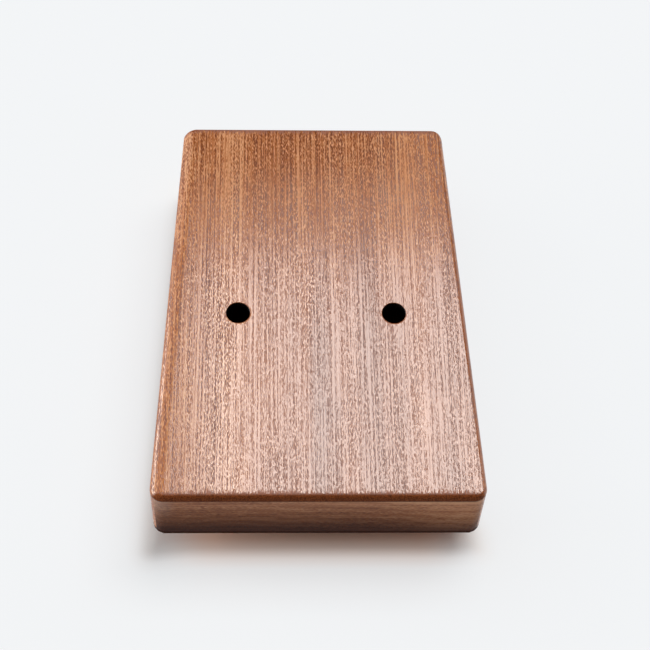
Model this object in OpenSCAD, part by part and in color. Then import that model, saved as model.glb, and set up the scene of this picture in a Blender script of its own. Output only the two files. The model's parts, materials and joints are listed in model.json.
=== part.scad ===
// Box kalimba lying face down: a hollow wooden box with two finger holes in its back, and a bridge,
// a pressure bar and seventeen spring tines on the soundboard underneath. Seen from above the box
// narrows a little from its head end, where the bridge is, to the player's end.
// Millimetres. +Z points up out of the back panel, the ground is z = 0, the player's end is at -Y.
// The box floats on its own hardware: the screw heads and the tips of the tines touch the ground.

/* [Box] */
// Width of the box at its head end, across the tines
box_w = 136; // [126:1:160]
// Width of the box at the player's end
box_tail_w = 116; // [104:1:150]
// Length of the box, along the tines
box_l = 185; // [170:1:230]
// Thickness of the box, both panels included
box_h = 34; // [26:0.5:48]
// Radius of the four upright corners
corner_r = 5.5; // [3.5:0.5:7]
// Thickness of the four walls
wall_t = 7; // [5:0.5:9]

/* [Back panel] */
// Thickness of the back panel
back_t = 3; // [2:0.1:5]
// Rounding of the back panel's outer edge
back_edge_r = 2.6; // [0.6:0.1:3]
// Diameter of each finger hole
finger_hole_d = 10; // [6:0.1:16]
// Distance between the centres of the finger holes
finger_hole_spacing = 66; // [40:0.5:85]
// Distance of the finger holes from the player's end
finger_hole_setback = 98.2; // [50:0.2:130]
// Rounding of the finger holes' rims
finger_hole_rim_r = 0.4; // [0.2:0.1:1.2]

/* [Soundboard] */
// Thickness of the soundboard
board_t = 3; // [2:0.1:5]
// Rounding of the soundboard's outer edge
board_edge_r = 1.8; // [0.6:0.1:3]
// Diameter of the sound hole
sound_hole_d = 30; // [20:1:45]
// Distance of the sound hole from the player's end
sound_hole_setback = 57; // [45:1:85]

/* [Inside] */
// Depth of the cross brace under the bridge
brace_h = 12; // [8:0.5:18]
// How far the brace is wider than the bridge on each side
brace_lip = 2; // [0:0.5:5]
// Wood left in the brace past the points of the screws
brace_cover = 3; // [1:0.5:6]
// Leg of the three-cornered blocks in the corners
corner_block_leg = 10; // [6:0.5:14]

/* [Bridge] */
// Distance of the front saddle from the head end
bridge_setback = 51; // [46:1:70]
// Distance between the front and the rear saddle
saddle_span = 17; // [15:0.5:22]
// Diameter of the two saddle rods
saddle_d = 3; // [2:0.1:4]
// Height of the front saddle's axis above the soundboard
saddle_h = 6; // [5:0.1:9]
// Height of the bridge's floor between its ridges
bridge_floor_h = 3; // [2:0.1:4.5]
// Width of each ridge at its top
ridge_w = 5; // [4.4:0.1:6]
// How far the bridge's outer faces spread towards the soundboard
bridge_splay = 2; // [0:0.1:4]
// Wood of the bridge past the outer screws
bridge_end = 4.5; // [2.5:0.1:6]

/* [Pressure bar] */
// Width of the half-round bar
bar_w = 6; // [5.4:0.1:7]
// Height of the square part above the half round
bar_flat = 1.2; // [0.6:0.1:3]
// Diameter of the screws
screw_d = 2.3; // [1.6:0.1:2.8]
// Diameter of the screw heads
head_d = 4.4; // [3.6:0.1:4.8]
// Height of the screw heads
head_h = 1.8; // [1.4:0.1:2.6]
// How far the heads stand out of the bar
head_proud = 0.6; // [0.3:0.1:1]
// Width across the flats of the hexagon sockets
socket_w = 1.5; // [1:0.1:2]
// Depth of the hexagon sockets
socket_depth = 1; // [0.5:0.1:1.2]

/* [Tines] */
// Thickness of the tines
tine_t = 1.1; // [0.8:0.05:1.4]
// Free length of the lowest tine, from the front saddle to its tip
tine_longest = 62; // [54:0.5:80]
// Length of the tines behind the rear saddle
tine_tail = 11; // [5:0.5:18]
// Distance of the outer tines from the sides of the box, measured at the head end
tine_margin = 20; // [18:0.5:26]
// Gap between neighbouring tips
tip_gap = 1.3; // [0.6:0.1:2]
// Length of the bent playing tip
tip_bend_l = 11; // [6:0.5:16]
// How far the tip bends away from the soundboard
tip_kick = 1.6; // [0.4:0.1:2.5]
// How far the pressure bar bends the tines down between the saddles
tine_dip = 0.4; // [0.1:0.05:0.8]
// Rise of the tails, in millimetres a millimetre
tail_rise = 0.06; // [0:0.01:0.12]

/* [Clearances] */
// Gap between the front saddle and the tines that turn about it
saddle_gap = 0.05; // [0.02:0.01:0.1]
// Gap between the rear saddle and the tines
rear_gap = 0.4; // [0.3:0.05:0.8]
// Gap between the pressure bar and the tines
bar_gap = 0.55; // [0.45:0.05:0.9]
// Gap between a tine and a screw beside it
screw_side_gap = 0.35; // [0.3:0.05:0.5]
// Gap round a screw or its head in its hole
hole_gap = 0.1; // [0.05:0.01:0.2]
// Gap round a rod in its groove and a thread in the brace
seat_gap = 0.02; // [0.01:0.01:0.05]

/* [Hidden] */
$fn = 96;
// Straight land that a rounding leaves on its board and at its corner
edge_land = 0.2;
// Passes of the cutter across each corner of a board, and how far it stays off the upright edge
corner_passes = 3;
pass_ease = 0.05;
// How far a cut runs past the face that it opens
over = 1;

// Tines, counted from the player's left hand, which is at +X with the box face down
tine_count = 17;
middle_tine = 9;
tine_pitch = (box_w - 2 * tine_margin) / (tine_count - 1);
tip_w = tine_pitch - tip_gap;
root_w = tine_pitch - screw_d - 2 * screw_side_gap;
// Length of tine before the front saddle that keeps the root's width
root_run = 3;
// Steps of the bent tip's curve
bend_steps = 8;
// Half the stretch over which a slope is measured
slope_reach = 0.05;

// Heights above the soundboard's face, counted away from the box
tine_h = saddle_h + saddle_d / 2 + saddle_gap + tine_t / 2;
rear_saddle_h = tine_h - tine_t / 2 - rear_gap - saddle_d / 2;
bar_nose_h = tine_h - tine_dip + tine_t / 2 + bar_gap;
bar_top_h = bar_nose_h + bar_w / 2 + bar_flat;
head_seat_h = bar_top_h + head_proud - head_h;
hardware_h = bar_top_h + head_proud;

// Levels above the ground
face_z = hardware_h;
back_z = face_z + box_h;
wall_h = box_h - board_t - back_t;

// Places along the box
tail_y = -box_l / 2;
head_y = box_l / 2;
front_saddle_y = head_y - bridge_setback;
bar_y = front_saddle_y + saddle_span / 2;
finger_hole_y = tail_y + finger_hole_setback;
sound_hole_y = tail_y + sound_hole_setback;

// Plan of the box: each side leans outwards towards the head end
side_lean = atan((box_w - box_tail_w) / 2 / box_l);
function half_w(y) = (box_tail_w + (box_w - box_tail_w) * (y - tail_y) / box_l) / 2;
// Half the width left at y when the sides are moved in by a depth
function inner_half_w(y, depth) = half_w(y) - depth / cos(side_lean);
// Corner of the plan moved in by a depth all round, with x and y of 1 or -1
function plan_corner(x, y, depth) = let (at = y * (box_l / 2 - depth)) [x * inner_half_w(at, depth), at];

// Screws stand half way between two tines, counted in pitches from the middle
screw_places = [-8.5, -2.5, 2.5, 8.5];
outer_screw_x = max(screw_places) * tine_pitch;
screw_bite = board_t + brace_h - brace_cover;
bridge_l = 2 * (outer_screw_x + bridge_end);
bridge_front = -ridge_w / 2 - bridge_splay;
bridge_back = saddle_span + ridge_w / 2 + bridge_splay;

// Colours
mahogany = [0.66, 0.41, 0.26];
end_wood = [0.47, 0.29, 0.20];
spruce = [0.80, 0.66, 0.46];
rosewood = [0.25, 0.13, 0.09];
steel = [0.74, 0.75, 0.77];
spring_steel = [0.82, 0.82, 0.83];

// Notes: the lowest tine is in the middle, and the notes of the major scale go left and right in turn
scale_steps = [0, 2, 4, 5, 7, 9, 11];
octave = 12;
function note_of(i) = i < middle_tine ? 2 * (middle_tine - i) - 1 : 2 * (i - middle_tine);
function semitones(note) =
    octave * floor(note / len(scale_steps)) + scale_steps[note % len(scale_steps)];
// A bar of even thickness sounds an octave higher at its length over the square root of two
function free_length(i) = tine_longest * pow(2, -semitones(note_of(i)) / (2 * octave));
function tine_x(i) = (middle_tine - i) * tine_pitch;
function tine_name(i) = str("tine_", i < 10 ? "0" : "", i);

// Shared shapes

// Outline of the box: straight sides and ends, and round corners
module box_plan() {
    head = plan_corner(1, 1, corner_r);
    tail = plan_corner(1, -1, corner_r);
    out = corner_r * [cos(side_lean), -sin(side_lean)];
    right = [tail - [0, corner_r], tail + out, head + out, head + [0, corner_r]];
    left = [for (k = [3 : -1 : 0]) [-right[k].x, right[k].y]];
    polygon(concat(right, left));
    for (x = [-1, 1], y = [-1, 1]) translate(plan_corner(x, y, corner_r)) circle(corner_r);
}

// What a quarter round of radius r leaves of a square corner, with the round's centre at the origin
module corner_waste(r) {
    difference() {
        square(r + over);
        circle(r);
    }
}

// Board of the box's outline, with its upper outer edge rounded by straight passes of a round cutter:
// one along each end and each side, and a few across each corner
module rounded_board(t, edge_r) {
    r = min(edge_r, t - edge_land, corner_r - edge_land);
    head = plan_corner(1, 1, corner_r);
    tail = plan_corner(1, -1, corner_r);
    difference() {
        linear_extrude(t) box_plan();
        translate([0, 0, t - r]) {
            edge_pass([0, head_y], 90, box_w, r);
            edge_pass([0, tail_y], -90, box_tail_w, r);
            for (mirrored = [0, 1]) mirror([mirrored, 0, 0]) {
                corner_pass((head + tail) / 2, -side_lean, box_l, r);
                for (share = [for (k = [1 : corner_passes]) k / (corner_passes + 1)]) {
                    corner_pass(head, share * (90 + side_lean) - side_lean, 4 * corner_r, r);
                    corner_pass(tail, share * (90 - side_lean) - 90, 4 * corner_r, r);
                }
            }
        }
    }
}

// Waste of one straight pass along a board's edge, which looks out at the given angle
module edge_pass(middle, angle, l, r) {
    translate(middle) rotate([0, 0, angle]) translate([pass_ease - r, 0, 0])
        rotate([90, 0, 0]) linear_extrude(l, center = true) corner_waste(r);
}

// Waste of one pass past a point that lies a corner's radius inside the edge
module corner_pass(point, angle, l, r) {
    edge_pass(point + corner_r * [cos(angle), sin(angle)], angle, l, r);
}

// Puts what is drawn upwards from the soundboard's face onto that face, which looks down
module on_soundboard() {
    translate([0, 0, face_z]) mirror([0, 0, 1]) children();
}

// Four upright holes of the given radius at the screws, between two heights over the soundboard
module screw_holes(r, low, high) {
    for (p = screw_places)
        translate([p * tine_pitch, bar_y, low]) cylinder(r = r, h = high - low);
}

// Round bar across the box
module cross_rod(r, l) {
    rotate([0, 90, 0]) cylinder(r = r, h = l, center = true);
}

// Box

module finger_hole() {
    r = finger_hole_d / 2;
    rim = finger_hole_rim_r;
    translate([0, 0, -over]) cylinder(r = r, h = back_t + 2 * over);
    translate([0, 0, back_t - rim])
        rotate_extrude()
            difference() {
                translate([r - rim, 0]) square([2 * rim, rim + over]);
                translate([r + rim, 0]) circle(rim);
            }
}

module back_panel() {
    color(mahogany)
        translate([0, 0, back_z - back_t])
            difference() {
                rounded_board(back_t, back_edge_r);
                for (x = [-1, 1])
                    translate([x * finger_hole_spacing / 2, finger_hole_y, 0]) finger_hole();
            }
}

module front_panel() {
    color(mahogany)
        on_soundboard() difference() {
            translate([0, 0, -board_t]) rounded_board(board_t, board_edge_r);
            translate([0, sound_hole_y, -board_t - over])
                cylinder(d = sound_hole_d, h = board_t + 2 * over);
            screw_holes(screw_d / 2 + hole_gap, -board_t - over, over);
        }
}

// Wall between two corners of the plan, mitred where it meets its neighbours
module wall(a, b) {
    translate([0, 0, face_z + board_t])
        intersection() {
            linear_extrude(wall_h) box_plan();
            linear_extrude(wall_h)
                polygon([plan_corner(a.x, a.y, 0), plan_corner(b.x, b.y, 0),
                         plan_corner(b.x, b.y, wall_t), plan_corner(a.x, a.y, wall_t)]);
        }
}

module right_wall() {
    color(mahogany) wall([1, -1], [1, 1]);
}

module head_wall() {
    color(end_wood) wall([1, 1], [-1, 1]);
}

module left_wall() {
    color(mahogany) wall([-1, 1], [-1, -1]);
}

module tail_wall() {
    color(end_wood) wall([-1, -1], [1, -1]);
}

// Three-cornered blocks with one leg along an end wall and one along a side wall
module corner_blocks() {
    leg = corner_block_leg;
    color(spruce)
        translate([0, 0, face_z + board_t])
            for (x = [-1, 1], y = [-1, 1])
                linear_extrude(wall_h)
                    translate(plan_corner(x, y, wall_t))
                        polygon([[0, 0], [-x * leg, 0], -y * leg * [x * sin(side_lean), cos(side_lean)]]);
}

module bridge_brace() {
    low_y = front_saddle_y + bridge_front - brace_lip;
    high_y = front_saddle_y + bridge_back + brace_lip;
    low_x = inner_half_w(low_y, wall_t);
    high_x = inner_half_w(high_y, wall_t);
    color(spruce)
        on_soundboard() difference() {
            translate([0, 0, -board_t - brace_h])
                linear_extrude(brace_h)
                    polygon([[-low_x, low_y], [low_x, low_y], [high_x, high_y], [-high_x, high_y]]);
            screw_holes(screw_d / 2 + seat_gap, -screw_bite, over);
        }
}

// Bridge

module bridge_block() {
    color(rosewood)
        on_soundboard() difference() {
            translate([0, front_saddle_y, 0]) rotate([90, 0, 90])
                linear_extrude(bridge_l, center = true)
                    polygon([[bridge_front, 0], [-ridge_w / 2, saddle_h], [ridge_w / 2, saddle_h],
                             [ridge_w / 2, bridge_floor_h], [saddle_span - ridge_w / 2, bridge_floor_h],
                             [saddle_span - ridge_w / 2, rear_saddle_h],
                             [saddle_span + ridge_w / 2, rear_saddle_h], [bridge_back, 0]]);
            translate([0, front_saddle_y, saddle_h])
                cross_rod(saddle_d / 2 + seat_gap, bridge_l + 2 * over);
            translate([0, front_saddle_y + saddle_span, rear_saddle_h])
                cross_rod(saddle_d / 2 + seat_gap, bridge_l + 2 * over);
            screw_holes(screw_d / 2 + hole_gap, -over, bridge_floor_h + over);
        }
}

module front_saddle() {
    color(steel)
        on_soundboard() translate([0, front_saddle_y, saddle_h]) cross_rod(saddle_d / 2, bridge_l);
}

module rear_saddle() {
    color(steel)
        on_soundboard()
            translate([0, front_saddle_y + saddle_span, rear_saddle_h]) cross_rod(saddle_d / 2, bridge_l);
}

// Half-round bar with its round side on the tines and round ends about the outer screws
module pressure_bar() {
    nose_r = bar_w / 2;
    color(steel)
        on_soundboard() difference() {
            intersection() {
                translate([0, bar_y, bar_nose_h + nose_r]) rotate([90, 0, 90])
                    linear_extrude(2 * outer_screw_x + bar_w, center = true) {
                        circle(nose_r);
                        translate([-nose_r, 0]) square([bar_w, bar_flat]);
                    }
                translate([0, bar_y, bar_nose_h])
                    linear_extrude(bar_top_h - bar_nose_h) {
                        square([2 * outer_screw_x, bar_w], center = true);
                        for (x = [-1, 1]) translate([x * outer_screw_x, 0]) circle(nose_r);
                    }
            }
            screw_holes(screw_d / 2 + hole_gap, bar_nose_h - over, bar_top_h + over);
            screw_holes(head_d / 2 + hole_gap, head_seat_h, bar_top_h + over);
        }
}

// Screw with its point at z = 0 and the given length under its head
module socket_screw(l) {
    head_r = head_d / 2;
    dome = head_proud;
    difference() {
        union() {
            cylinder(d = screw_d, h = l);
            translate([0, 0, l]) cylinder(r = head_r, h = head_h - dome);
            translate([0, 0, l + head_h - dome])
                cylinder(r1 = head_r, r2 = head_r - dome, h = dome);
        }
        translate([0, 0, l + head_h - socket_depth])
            cylinder(d = socket_w / cos(30), h = socket_depth + over, $fn = 6);
    }
}

module pressure_screws() {
    color(steel)
        on_soundboard()
            for (p = screw_places)
                translate([p * tine_pitch, bar_y, -screw_bite]) socket_screw(head_seat_h + screw_bite);
}

// Tines

// Height of a tine's middle at the distance s before the front saddle: raised tail, dip under the
// pressure bar, straight rise of the free part and a parabola at the tip
function path_h(s, free, rise) =
    s < -saddle_span ? tine_h - (s + saddle_span) * tail_rise
    : s < 0 ? tine_h - tine_dip * (1 - abs(2 * s / saddle_span + 1))
    : tine_h + rise * s + tip_kick * pow(max(0, s - free + tip_bend_l) / tip_bend_l, 2);

function path_angle(s, free, rise) =
    atan((path_h(s + slope_reach, free, rise) - path_h(s - slope_reach, free, rise)) / (2 * slope_reach));

// A point of the tine's side, a given distance out from its middle
function side_point(s, free, rise, out) =
    let (a = path_angle(s, free, rise)) [s - out * sin(a), path_h(s, free, rise) + out * cos(a)];

// Rise that brings the tip's outer corner down to the ground, for a tip of a given angle
function tip_rise(free, tip_angle) = (hardware_h - tine_h - tip_kick - tine_t / 2 * cos(tip_angle)) / free;

function tine_rise(free) =
    let (first = tip_rise(free, 0)) tip_rise(free, path_angle(free, free, first));

module tine_side(free) {
    rise = tine_rise(free);
    bend_start = free - tip_bend_l;
    stations = concat([-saddle_span - tine_tail, -saddle_span, -saddle_span / 2, 0],
                      [for (k = [0 : bend_steps]) bend_start + tip_bend_l * k / bend_steps]);
    outer = [for (s = stations) side_point(s, free, rise, tine_t / 2)];
    inner = [for (k = [len(stations) - 1 : -1 : 0]) side_point(stations[k], free, rise, -tine_t / 2)];
    polygon(concat(outer, inner));
}

// Seen from above, with its tip at -Y: a narrow root that widens to a round tip
module tine_plan(free) {
    tip_r = tip_w / 2;
    back = saddle_span + tine_tail + over;
    polygon([[-root_w / 2, back], [-root_w / 2, -root_run], [-tip_r, tip_r - free],
             [tip_r, tip_r - free], [root_w / 2, -root_run], [root_w / 2, back]]);
    translate([0, tip_r - free]) circle(tip_r);
}

module tine(i) {
    free = free_length(i);
    color(spring_steel)
        on_soundboard() translate([tine_x(i), front_saddle_y, 0])
            intersection() {
                rotate([90, 0, -90]) linear_extrude(tip_w + over, center = true) tine_side(free);
                linear_extrude(hardware_h + over) tine_plan(free);
            }
}

back_panel();
front_panel();
left_wall();
right_wall();
head_wall();
tail_wall();
corner_blocks();
bridge_brace();
bridge_block();
front_saddle();
rear_saddle();
pressure_bar();
pressure_screws();
for (i = [1 : tine_count])
    tine(i);
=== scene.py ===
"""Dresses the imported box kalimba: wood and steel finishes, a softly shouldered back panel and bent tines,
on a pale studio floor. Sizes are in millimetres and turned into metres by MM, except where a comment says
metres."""
import json
import math

import bmesh
import bpy
import numpy as np
from mathutils import Matrix, Vector


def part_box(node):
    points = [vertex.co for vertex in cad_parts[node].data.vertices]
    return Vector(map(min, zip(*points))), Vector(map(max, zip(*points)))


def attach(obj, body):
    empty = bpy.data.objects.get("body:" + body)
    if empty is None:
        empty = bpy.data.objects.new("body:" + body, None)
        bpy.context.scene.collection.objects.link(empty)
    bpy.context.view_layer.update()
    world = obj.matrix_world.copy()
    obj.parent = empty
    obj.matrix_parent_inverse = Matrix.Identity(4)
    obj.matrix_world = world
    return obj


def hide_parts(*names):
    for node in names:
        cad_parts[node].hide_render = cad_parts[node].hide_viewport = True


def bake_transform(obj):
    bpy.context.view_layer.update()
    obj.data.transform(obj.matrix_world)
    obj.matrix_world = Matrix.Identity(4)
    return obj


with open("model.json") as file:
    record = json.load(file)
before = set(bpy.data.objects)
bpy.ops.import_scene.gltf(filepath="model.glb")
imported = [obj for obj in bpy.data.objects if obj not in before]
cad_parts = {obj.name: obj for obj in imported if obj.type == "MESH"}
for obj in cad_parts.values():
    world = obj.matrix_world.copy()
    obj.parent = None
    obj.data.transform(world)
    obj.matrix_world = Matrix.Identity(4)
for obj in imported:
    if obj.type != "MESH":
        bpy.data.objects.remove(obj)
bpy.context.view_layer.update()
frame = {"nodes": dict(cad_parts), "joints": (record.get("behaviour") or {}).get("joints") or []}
MM = 0.001

# Levels and length, from the frame, and the tapered outline
BACK_LO, BACK_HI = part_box("back_panel")
BOARD_LO, BOARD_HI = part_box("front_panel")
BOX_HALF_L = BACK_HI.y / MM
BACK_TOP = BACK_HI.z / MM
BACK_UNDER = BACK_LO.z / MM
BOARD_FACE = BOARD_LO.z / MM
BOARD_BACK = BOARD_HI.z / MM
HEAD_HALF_W = 68.0
TAIL_HALF_W = 58.0
MIDDLE_HALF_W = (HEAD_HALF_W + TAIL_HALF_W) / 2
LEAN = math.atan((HEAD_HALF_W - TAIL_HALF_W) / (2 * BOX_HALF_L))
CORNER_R = 5.5

# Back panel: the shoulder on the +X side is wider than the one on the -X side
PLUS_SHOULDER = 5.8
MINUS_SHOULDER = 2.4
END_ROUND = 2.5
SHOULDER_DROP = 2.6
SHOULDER_STEPS = 18
SHOULDER_POWER = 2.5
SHOULDER_SHARE = 0.6
MATT_DROP = 0.25
FLAT_CORNER_R = 1.2
FLAT_BORDER = 0.5
SEAM_CHAMFER = 0.15
FINGER_HOLE_R = 5.0
FINGER_HOLE_X = 33.0
FINGER_HOLE_Y = 5.7
FINGER_HOLE_RIM = 0.4
RIM_STEPS = 6
RIM_BORDER = 0.3
END_POINTS = 36
CORNER_POINTS = 14
SIDE_POINTS = 96
MIDDLE_POINTS = 95
PANEL_SHARP = 40.0
WELD = 1e-4

# Tines
TINE_T = 1.1
TINE_EDGE_R = 0.28
TINE_ROOT_W = 3.0
TINE_ROOT_RUN = 3.0
TINE_LIFT = 8.1
SADDLE_SPAN = 17.0
TINE_TAIL = 11.0
TINE_DIP = 0.4
TAIL_RISE = 0.06
TIP_BEND = 11.0
TIP_KICK = 1.6
BEND_EASE = 0.9
BEND_POINTS = 9
SLOPE_STEP = 0.05
TINE_STATIONS = 110
TIP_STATIONS = 14
EDGE_STEPS = 4
TINE_SHARP = 50.0

# Camera, from the fit to the photograph's edges: it looks from the head end towards -Y; clips in metres
LENS = 98.257
SENSOR = 36.0
CAMERA_AT = (23.589, 398.982, 687.126)
CAMERA_PITCH = 58.740
CAMERA_YAW = 175.980
CAMERA_ROLL = 3.567
CLIP_NEAR = 0.01
CLIP_FAR = 50.0

# Lamps: distances in metres, and the slopes at which their edges are seen, to the right, away and up
KEY_HEIGHT = 3.0
KEY_LEFT = -0.062
KEY_RIGHT = 0.75
KEY_NEAR = 0.2
KEY_FAR = 0.66
KEY_RADIANCE = 8.3
KEY_TINT = (1.015, 1.0, 0.975)
SIDE_DISTANCE = 3.0
SIDE_LOW = 0.12
SIDE_HIGH = 0.6
SIDE_NEAR = -0.35
SIDE_FAR = 0.68
SIDE_RADIANCE = 5.5

# Backdrop, by the parts of the direction along each axis between which it changes
BACKDROP_WHITE = 0.9
CEILING_GREY = 0.05
CEILING_X = (0.12, 0.45)
CEILING_Z = (0.25, 0.55)
GLOSS_Y = (-0.3, 0.3)
GLOSS_SHADE = 0.75
AMBIENT = 0.3
AMBIENT_Y = (-0.5, 0.6)
AMBIENT_HEAD = 0.25

# Turn of every noise, in radians, and its roughness
NOISE_TURN = (0.62, 0.91, 0.37)
NOISE_ROUGH = 0.55
NO_SHIFT = (0.0, 0.0, 0.0)


# Short words for nodes

def feed(tree, socket, value):
    """Links a node's output to a socket, or sets the socket's own value."""
    if isinstance(value, bpy.types.NodeSocket):
        tree.links.new(value, socket)
    else:
        socket.default_value = value


def put(tree, kind, inputs=None, **settings):
    """Adds a node of a kind, with its settings and its inputs by name or number."""
    made = tree.nodes.new(kind)
    for word, value in settings.items():
        setattr(made, word, value)
    for key, value in (inputs or {}).items():
        feed(tree, made.inputs[key], value)
    return made


def sum_up(tree, operation, *values):
    """A Math node on one to three numbers."""
    return put(tree, "ShaderNodeMath", dict(enumerate(values)), operation=operation).outputs[0]


def ease(tree, value, low, high, out_low=0.0, out_high=1.0):
    """Smooth step of a value between two limits."""
    limits = {"Value": value, "From Min": low, "From Max": high, "To Min": out_low, "To Max": out_high}
    return put(tree, "ShaderNodeMapRange", limits, interpolation_type="SMOOTHSTEP").outputs[0]


def ease_mm(tree, value, limits, out_low=0.0, out_high=1.0):
    """Smooth step of a length in metres between two limits in millimetres."""
    return ease(tree, value, limits[0] * MM, limits[1] * MM, out_low, out_high)


def ease_line(tree, value, low, high):
    """Straight rise of a value from 0 to 1 between two limits."""
    limits = {"Value": value, "From Min": low, "From Max": high}
    return put(tree, "ShaderNodeMapRange", limits).outputs[0]


def blend_colour(tree, share, first, second, how="MIX"):
    """Mixes two colours by a share."""
    made = put(tree, "ShaderNodeMix", data_type="RGBA", blend_type=how)
    feed(tree, made.inputs[0], share)
    feed(tree, made.inputs[6], first)
    feed(tree, made.inputs[7], second)
    return made.outputs[2]


def rgb(red, green, blue):
    """A colour with full cover."""
    return (red, green, blue, 1.0)


def grey(level):
    """A grey with full cover."""
    return rgb(level, level, level)


def split(tree, place):
    """The three parts of a place."""
    return put(tree, "ShaderNodeSeparateXYZ", {0: place}).outputs


def object_place(tree):
    """Object coordinates."""
    return put(tree, "ShaderNodeTexCoord").outputs["Object"]


def turned_place(tree, along, shift):
    """Object coordinates turned so that the grain runs along the second axis, and shifted to another piece
    of wood."""
    turn = math.pi / 2 if along == "X" else 0.0
    inputs = {"Vector": object_place(tree), "Location": shift, "Rotation": (0.0, 0.0, turn)}
    return put(tree, "ShaderNodeMapping", inputs).outputs[0]


def streaks(tree, place, across, along, detail=2.0, waver=0.0):
    """Noise stretched along the grain: across and along are the sizes of its marks in millimetres. The noise
    is turned after it is stretched, so that its own grid doesn't show as rows."""
    scale = (1 / (across * MM), 1 / (along * MM), 1 / (across * MM))
    inputs = {"Vector": place, "Scale": scale, "Rotation": NOISE_TURN}
    fitted = put(tree, "ShaderNodeMapping", inputs).outputs[0]
    inputs = {"Vector": fitted, "Scale": 1.0, "Detail": detail}
    inputs.update({"Roughness": NOISE_ROUGH, "Distortion": waver})
    return put(tree, "ShaderNodeTexNoise", inputs).outputs["Fac"]


def weigh(tree, layers):
    """Half plus the sum of each noise's distance from half times its weight."""
    total = 0.5
    for noise, weight in layers:
        total = sum_up(tree, "MULTIPLY_ADD", sum_up(tree, "SUBTRACT", noise, 0.5), weight, total)
    return total


def ramp(tree, value, stops):
    """A colour ramp with the given stops."""
    made = put(tree, "ShaderNodeValToRGB", {"Fac": value})
    line = made.color_ramp
    while len(line.elements) < len(stops):
        line.elements.new(1.0)
    for element, (place, colour) in zip(line.elements, stops):
        element.position = place
        element.color = colour
    return made.outputs["Color"]


def new_finish(name):
    """An empty material, its tree and its shader."""
    made = bpy.data.materials.new(name)
    made.use_nodes = True
    return made, made.node_tree, made.node_tree.nodes["Principled BSDF"]


def raise_bump(tree, shader, height, depth):
    """Bump of a height from 0 to 1 that stands for a depth in millimetres."""
    bump = put(tree, "ShaderNodeBump", {"Height": height, "Strength": 1.0, "Distance": depth * MM})
    feed(tree, shader.inputs["Normal"], bump.outputs[0])


# Mahogany: colours by tone, of cut ends and glue lines, painted shade in the finger holes, along the
# soundboard's edge and low on the end walls, and painted sheen on the end walls
MAHOGANY = (
    (0.0, rgb(0.16, 0.03, 0.002)), (0.25, rgb(0.28, 0.07, 0.011)), (0.5, rgb(0.405, 0.124, 0.034)),
    (0.75, rgb(0.56, 0.22, 0.086)), (1.0, rgb(0.70, 0.345, 0.17)))
END_DARK = rgb(0.09, 0.02, 0.005)
END_LIGHT = rgb(0.30, 0.08, 0.022)
# dark brown of the glue lines and of the painted shade along the soundboard's edge
SEAM_AND_SHADE_BROWN = rgb(0.021, 0.007, 0.004)
# painted shade: near black for the finger holes' walls
HOLE_PAINTED_SHADE = rgb(0.004, 0.003, 0.003)
# painted shade: the dark for the end walls' lower part
PAINTED_SHADE = rgb(0.08, 0.022, 0.016)
# painted sheen: the pale grey for the end walls' upper part and +X corner
PAINTED_SHEEN = rgb(0.5, 0.49, 0.48)

# Coats: gloss of the lacquer and of the matt coats, and roughness on the wood, in its pores and on cut ends
LACQUER_IOR = 1.67
LACQUER_LEVEL = 0.5
MATT_IOR = 1.3
MATT_LEVEL = 0.22
WALL_LEVEL = 0.06
SIDE_LEVEL = 0.3
SHINY = 0.12
DULL = 0.42
END_DULL = 0.6

# Pores: their depth, and the tones of the cells at which they start and are deepest
PORE_DEPTH = 0.025
PORE_EDGE = 0.5
PORE_FLOOR = 0.2

# Grain: each kind of mark's size across and along it and its detail, and the weight of each
BAND_MARKS = (9.0, 300.0, 1.0)
CLOUD_MARKS = (26.0, 60.0, 2.0)
LINE_MARKS = (0.38, 80.0, 1.0)
FINE_MARKS = (0.3, 6.0, 0.0)
DASH_MARKS = (0.27, 1.5, 0.0)
CROWD_MARKS = (11.0, 80.0, 1.0)
DRIFT_MARKS = (5.0, 120.0, 1.0)
BAND_WEIGHT = 0.5
CLOUD_WEIGHT = 0.5
CELL_WEIGHT = 1.2
DASH_WEIGHT = 1.3
FINE_WEIGHT = 0.4
LINE_WEIGHT = 1.15
RIPPLE_WEIGHT = 0.1
LINE_PITCH = 1.7
LINE_DRIFT = 14.0

# Strength of the dashes: two limits of a noise, and the strength at each
CROWD = (0.4, 0.62, 0.7, 1.25)
DARK_LINES = (0.4, 0.6, 1.8, 0.3)

# Back panel's finish: strengths, and the places between which each changes
FADE = 0.19
FADE_X = (-5.0, 35.0)
FADE_Y = (-60.0, 40.0)
HEART = 0.13
HEART_EDGE = 0.01
HEART_OFF = (8.0, 30.0)
HEART_Y = (-40.0, 15.0)
FAR_CRISP = 1.6
NEAR_CRISP = 0.45
CRISP_Y = (-70.0, 10.0)
SIDE_CRISP = 1.1
SIDE_CRISP_X = (5.0, 50.0)
FILLED = 0.88
FILLED_X = (-75.0, -20.0)
FILLED_Y = (-75.0, -28.0)
HOLE_SOFT = (FINGER_HOLE_R + 0.05, FINGER_HOLE_R + 0.2)

# Cut ends, glue lines, and painted shade along the soundboard's edge
BOARD_ROUND = 2.2
BACK_END = BOX_HALF_L - END_ROUND
BOARD_END = BOX_HALF_L - BOARD_ROUND
END_RAGGED = 6.0
END_START = 0.7
END_FULL = 0.1
END_CELLS = (0.3, 0.7)
SEAM_AND_SHADE_SHARE = 0.85
SEAM_AND_SHADE_SOFT = 0.2
SEAM_HALF = 0.12
SEAMS = ((BACK_UNDER, SEAM_HALF), (BOARD_BACK, SEAM_HALF))
# painted shade along the soundboard's edge: its height over the face and its half width
EDGE_SHADE_UP = 1.7
EDGE_SHADE_HALF = 1.3
PAINTED_EDGE_SHADE = ((BOARD_FACE + EDGE_SHADE_UP, EDGE_SHADE_HALF),)
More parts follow.
